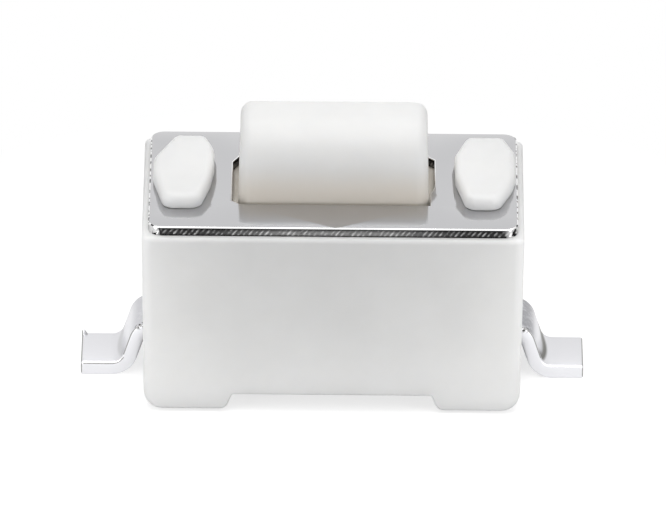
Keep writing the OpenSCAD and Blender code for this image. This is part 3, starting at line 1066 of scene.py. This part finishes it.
# Front bevel faces get the painted highlight (slot 1) or the painted shade line (slot 2); the sheared end
# gets the grey of slot 2.
def paint_edge_lines(bm, tip_x, highlight_from, shade_to):
    for face in bm.faces:
        face.normal_update()
        x, facing = face.calc_center_median().x, face.normal
        if x < EXIT_X or facing.x + facing.z < 0:
            continue
        at_end = x > tip_x - BURR_R
        middle = not at_end and -0.8 < facing.y < -0.35
        lower = not at_end and -0.99 < facing.y < -0.8
        if middle and x > highlight_from:
            face.material_index = 1
        elif middle and x < shade_to or lower and highlight_from < x < shade_to or at_end and facing.x > 0.7:
            face.material_index = 2


# %% [markdown]
# The right-hand terminal ends in a fork inside the well, and the dome's edge stands on its two
# legs and its cross bar. The left-hand one ends in a tongue between those legs, with the middle
# contact on it, so the dome joins the two when it is pressed flat.

# %% Right-hand terminal with its fork
FORK_LEG_W = 0.4
FORK_BAR_L = 0.4
RIGHT_HIGHLIGHT_FROM = 3.66
RIGHT_SHADE_TO = 3.27


def mirrored_outline(half):
    """Outline that is the same in front and behind, from its rear half."""
    return half + [(x, -y) for x, y in reversed(half)]


def right_terminal(bm):
    bar_x, leg_y = -right_low.x, right_high.y
    blank_strip(bm, mirrored_outline([
        (EXIT_X, LEAD_W / 2), (bar_x, LEAD_W / 2), (bar_x, leg_y), (-bar_x, leg_y),
        (-bar_x, leg_y - FORK_LEG_W), (bar_x - FORK_BAR_L, leg_y - FORK_LEG_W),
    ]), SHEET_T)
    slope = bend_lead(bm, right_high.x)
    print("slope between the bends:", round(slope, 3), "mm")
    deburr(bm)
    paint_edge_lines(bm, right_high.x, RIGHT_HIGHLIGHT_FROM, RIGHT_SHADE_TO)


bm_right = bmesh.new()
right_terminal(bm_right)
finish_piece(
    "right_lead", bm_right, "base", "right_terminal",
    [right_silver, edge_highlight_metal, edge_shade_and_cut_end],
)

# %% [markdown]
# The left-hand terminal is built on the right and mirrored. The mirror turns the faces inside
# out, and the finishing step points them outwards again. The tongue is 0.1 mm thinner than the
# strip, so its flat is made first and only the shoulder is raised to full thickness. The shears
# have pulled up a small burr at the rear corner of the foot, between two cuts through its skin.

# %% Left-hand terminal with its tongue
TONGUE_W = 0.6
TONGUE_DROP = 0.1
SHOULDER_L = 0.1
CONTACT_R = 0.24
CORNER_BURR = 0.07
CORNER_BURR_W = 0.09
LEFT_HIGHLIGHT_FROM = 3.3


def raise_corner(bm, tip_x):
    for place, across in ((tip_x - CORNER_BURR_W, (1, 0, 0)), (LEAD_W / 2 - CORNER_BURR_W, (0, 1, 0))):
        foot = [f for f in bm.faces if f.calc_center_median().x > tip_x - FOOT_L]
        skin = {part for face in foot for part in (face, *face.edges, *face.verts)}
        bmesh.ops.bisect_plane(bm, geom=list(skin), plane_co=Vector(across) * place, plane_no=across)
    for vert in bm.verts:
        at_corner = min(vert.co.x - tip_x, vert.co.y - LEAD_W / 2) > -0.6 * CORNER_BURR_W
        if at_corner and vert.co.z > SHEET_T / 2:
            vert.co.z += CORNER_BURR


def left_terminal(bm):
    shoulder_x = WELL_L / 2 - SHOULDER_L
    blank_strip(bm, mirrored_outline([(EXIT_X, LEAD_W / 2), (shoulder_x, LEAD_W / 2)]), SHEET_T)
    bend_lead(bm, -left_low.x)
    tongue = min(bm.faces, key=lambda f: f.calc_center_median().x)
    tongue = push_face(bm, tongue, (0, 0, 0))
    for vert in tongue.verts:
        vert.co.y = math.copysign(TONGUE_W / 2, vert.co.y)
        vert.co.z = min(vert.co.z, SHEET_Z + SHEET_T - TONGUE_DROP)
    push_face(bm, tongue, (-left_high.x - shoulder_x, 0, 0))
    deburr(bm)
    paint_edge_lines(bm, -left_low.x, LEFT_HIGHLIGHT_FROM, -left_low.x)
    raise_corner(bm, -left_low.x)


def middle_contact(bm):
    disc = bmesh.ops.create_circle(bm, cap_ends=True, segments=48, radius=CONTACT_R)["verts"]
    bmesh.ops.translate(bm, vec=(0, 0, SHEET_Z + BURR_R), verts=disc)
    face = next(f for f in bm.faces if set(f.verts) == set(disc))
    made = bmesh.ops.extrude_face_region(bm, geom=[face])["geom"]
    tops = [v for v in made if isinstance(v, bmesh.types.BMVert)]
    bmesh.ops.translate(bm, vec=(0, 0, left_high.z - SHEET_Z - BURR_R), verts=tops)


bm_left = bmesh.new()
left_terminal(bm_left)
middle_contact(bm_left)
bmesh.ops.scale(bm_left, vec=(-1, 1, 1), verts=bm_left.verts)
finish_piece(
    "left_lead", bm_left, "base", "left_terminal",
    [left_silver, edge_highlight_metal, edge_shade_and_cut_end],
)

# %% [markdown]
# ## Floor and background
# The switch stands on a pale sheet that runs on to a white background. The floor near it is a
# matt card and takes its shadow, which is faint, as on a bright sheet. Light of its own, which
# only the camera and mirrors see, brings the open floor up to white, and further out that takes
# over altogether.

# %% Floor
FLOOR_R = 300
SHADOW_R = 9


def floor_material():
    material, tree, output, place = start_material("pale_card")
    ray = add_node(tree, "ShaderNodeLightPath")
    seen = add_node(tree, "ShaderNodeMath", {
        0: ray.outputs["Is Camera Ray"], 1: ray.outputs["Is Glossy Ray"],
    }, operation="MAXIMUM")
    seen = add_node(tree, "ShaderNodeMath", {
        0: seen.outputs["Value"], 1: ray.outputs["Is Transmission Ray"],
    }, operation="MAXIMUM")
    distance = add_node(tree, "ShaderNodeVectorMath", {0: place}, operation="LENGTH")
    far = add_node(tree, "ShaderNodeMapRange", {
        "Value": distance.outputs["Value"], "From Min": SHADOW_R * 0.5 * MM, "From Max": SHADOW_R * MM,
    })
    card = add_node(tree, "ShaderNodeBsdfDiffuse", {"Color": linear("#B4B4B4")})
    glow = add_node(tree, "ShaderNodeEmission", {"Color": (1, 1, 1, 1), "Strength": 0.7})
    lifted = add_node(tree, "ShaderNodeAddShader", {0: card.outputs["BSDF"], 1: glow.outputs["Emission"]})
    white = add_node(tree, "ShaderNodeEmission", {"Color": (1, 1, 1, 1), "Strength": 1})
    blend = add_node(tree, "ShaderNodeMixShader", {
        0: far.outputs["Result"], 1: lifted.outputs["Shader"], 2: white.outputs["Emission"],
    })
    final = add_node(tree, "ShaderNodeMixShader", {
        0: seen.outputs["Value"], 1: card.outputs["BSDF"], 2: blend.outputs["Shader"],
    })
    tree.links.new(final.outputs["Shader"], output.inputs["Surface"])
    return material


def build_floor():
    bm = bmesh.new()
    bmesh.ops.create_circle(bm, cap_ends=True, segments=96, radius=FLOOR_R * MM)
    mesh = bpy.data.meshes.new("floor")
    bm.to_mesh(mesh)
    bm.free()
    mesh.materials.append(floor_material())
    floor = bpy.data.objects.new("floor", mesh)
    bpy.context.scene.collection.objects.link(floor)


build_floor()
print("floor radius", FLOOR_R, "mm")

# %% [markdown]
# ## Light
# The light is a plain soft set. A large box above and one above the front do most of it. The
# photographed switch also gets light from the bright sheet it stands on, which makes its walls
# lighter towards the board and the ends. Strips low in front and behind and a card off each
# front corner stand for that. Each lamp's level is the share of white that it gives a white card that
# faces it where the switch stands, and its power follows from its distance. The world is white
# to the camera and in mirrors, and dim as a light.

# %% Softboxes
AMBIENT = 0.22


def softbox(name, place, size, level):
    data = bpy.data.lights.new(name, "AREA")
    data.shape = "RECTANGLE"
    data.size, data.size_y = size[0] * MM, size[1] * MM
    distance = Vector(place).length * MM
    data.energy = level * (math.pi * distance) ** 2
    lamp = bpy.data.objects.new(name, data)
    bpy.context.scene.collection.objects.link(lamp)
    lamp.location = Vector(place) * MM
    lamp.rotation_euler = Vector(place).to_track_quat("Z", "Y").to_euler()
    lamp.visible_camera = False
    return lamp


def build_world():
    world = bpy.data.worlds.new("studio")
    world.use_nodes = True
    bpy.context.scene.world = world
    tree = world.node_tree
    tree.nodes.clear()
    ray = add_node(tree, "ShaderNodeLightPath")
    seen = add_node(tree, "ShaderNodeMath", {
        0: ray.outputs["Is Camera Ray"], 1: ray.outputs["Is Glossy Ray"],
    }, operation="MAXIMUM")
    seen = add_node(tree, "ShaderNodeMath", {
        0: seen.outputs["Value"], 1: ray.outputs["Is Transmission Ray"],
    }, operation="MAXIMUM")
    level = add_node(tree, "ShaderNodeMapRange", {
        "Value": seen.outputs["Value"], "To Min": AMBIENT, "To Max": 1,
    })
    sky = add_node(tree, "ShaderNodeBackground", {"Color": (1, 1, 1, 1), "Strength": level.outputs["Result"]})
    output = add_node(tree, "ShaderNodeOutputWorld")
    tree.links.new(sky.outputs["Background"], output.inputs["Surface"])


build_world()
softbox("top_box", (0, 6, 70), (70, 70), 0.61)
softbox("key_box", (0, -30, 64), (40, 40), 0.26)
softbox("front_strip", (0, -3.2, 0.15), (7.6, 0.25), 0.115)
softbox("rear_strip", (0, 3.2, 0.15), (4.8, 0.25), 0.1)
softbox("left_card", (-6.6, -4.6, 2.6), (2.5, 3), 0.15)
softbox("right_card", (6.6, -4.6, 2.6), (2.5, 3), 0.16)

# %% [markdown]
# ## View
# The picture is shown as it is lit, with the plain Standard view.

# %% View transform
bpy.context.scene.view_settings.view_transform = "Standard"
